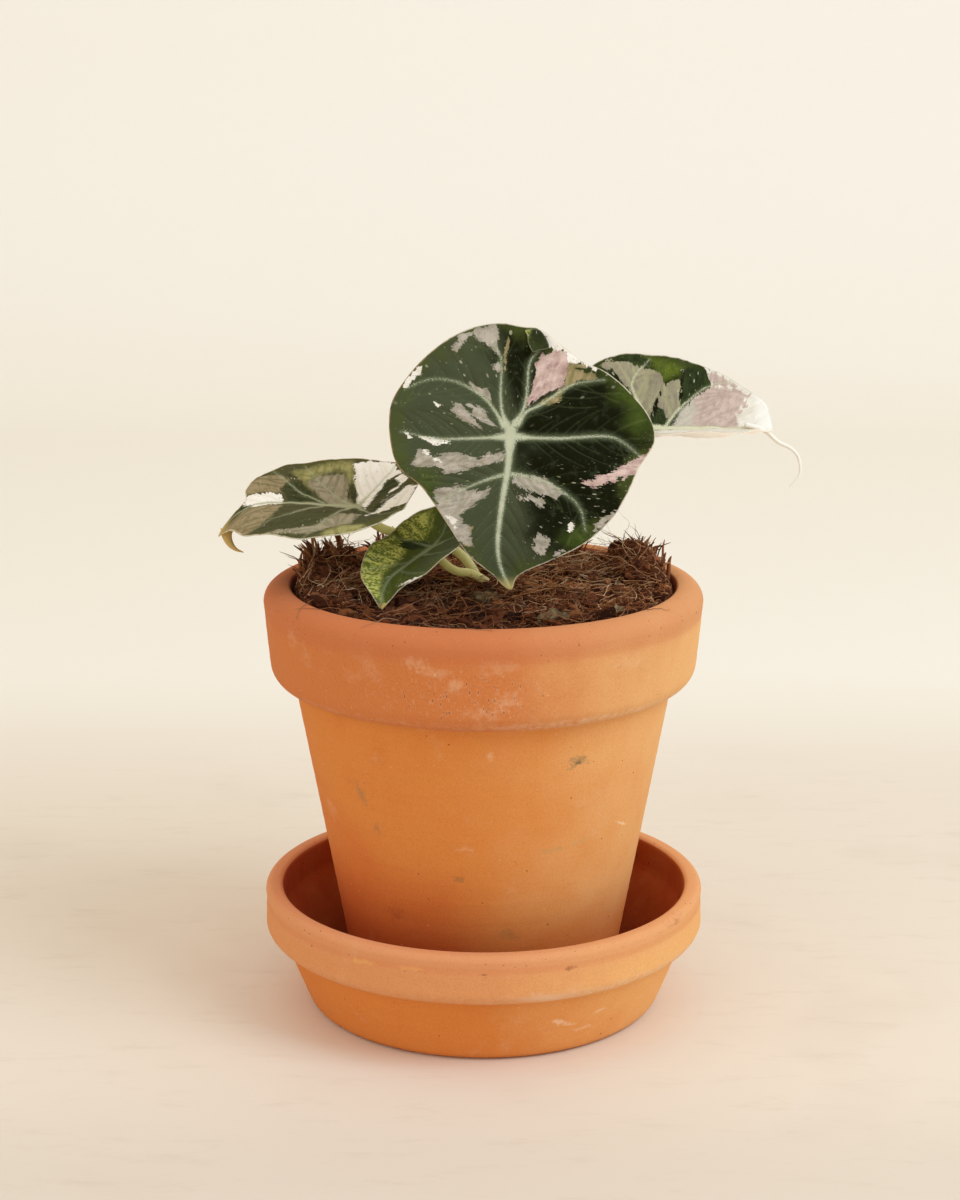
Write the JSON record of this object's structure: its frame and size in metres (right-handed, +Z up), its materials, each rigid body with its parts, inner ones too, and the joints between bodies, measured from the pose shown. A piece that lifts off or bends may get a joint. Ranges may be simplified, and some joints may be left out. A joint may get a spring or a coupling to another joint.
{
  "type": "potted alocasia",
  "caption": "Small potted alocasia with heart-shaped variegated leaves on slim petioles, rooted in coir in a round clay pot that stands in a clay saucer.",
  "frame": {"origin": "on the pot's axis, on the surface that the saucer stands on", "axes": "+Z up along the pot's axis; -Y is the side that the front leaf faces, and +X is to that viewer's right"},
  "size_m": [0.1869, 0.1428, 0.2225],
  "materials": {
    "saucer_clay": "unglazed terracotta, matt, a little darker inside",
    "pot_clay": "unglazed terracotta, matt, with a chalky redder rim",
    "potting_mix": "coarse dark brown coir and bark, rough",
    "corm": "dull brown corm with pale fleshy roots",
    "leaf_blade": "velvety dark green leaf with pale veins and pink, cream and grey patches",
    "petiole": "smooth pale yellow-green stalk"
  },
  "bodies": {
    "root": {"saucer": "saucer_clay", "pot": "pot_clay", "soil": "potting_mix", "corm_and_roots": "corm", "front_blade": "leaf_blade", "front_petiole": "petiole", "left_blade": "leaf_blade", "left_petiole": "petiole", "right_blade": "leaf_blade", "right_petiole": "petiole", "small_blade": "leaf_blade", "small_petiole": "petiole"}
  },
  "joints": []
}
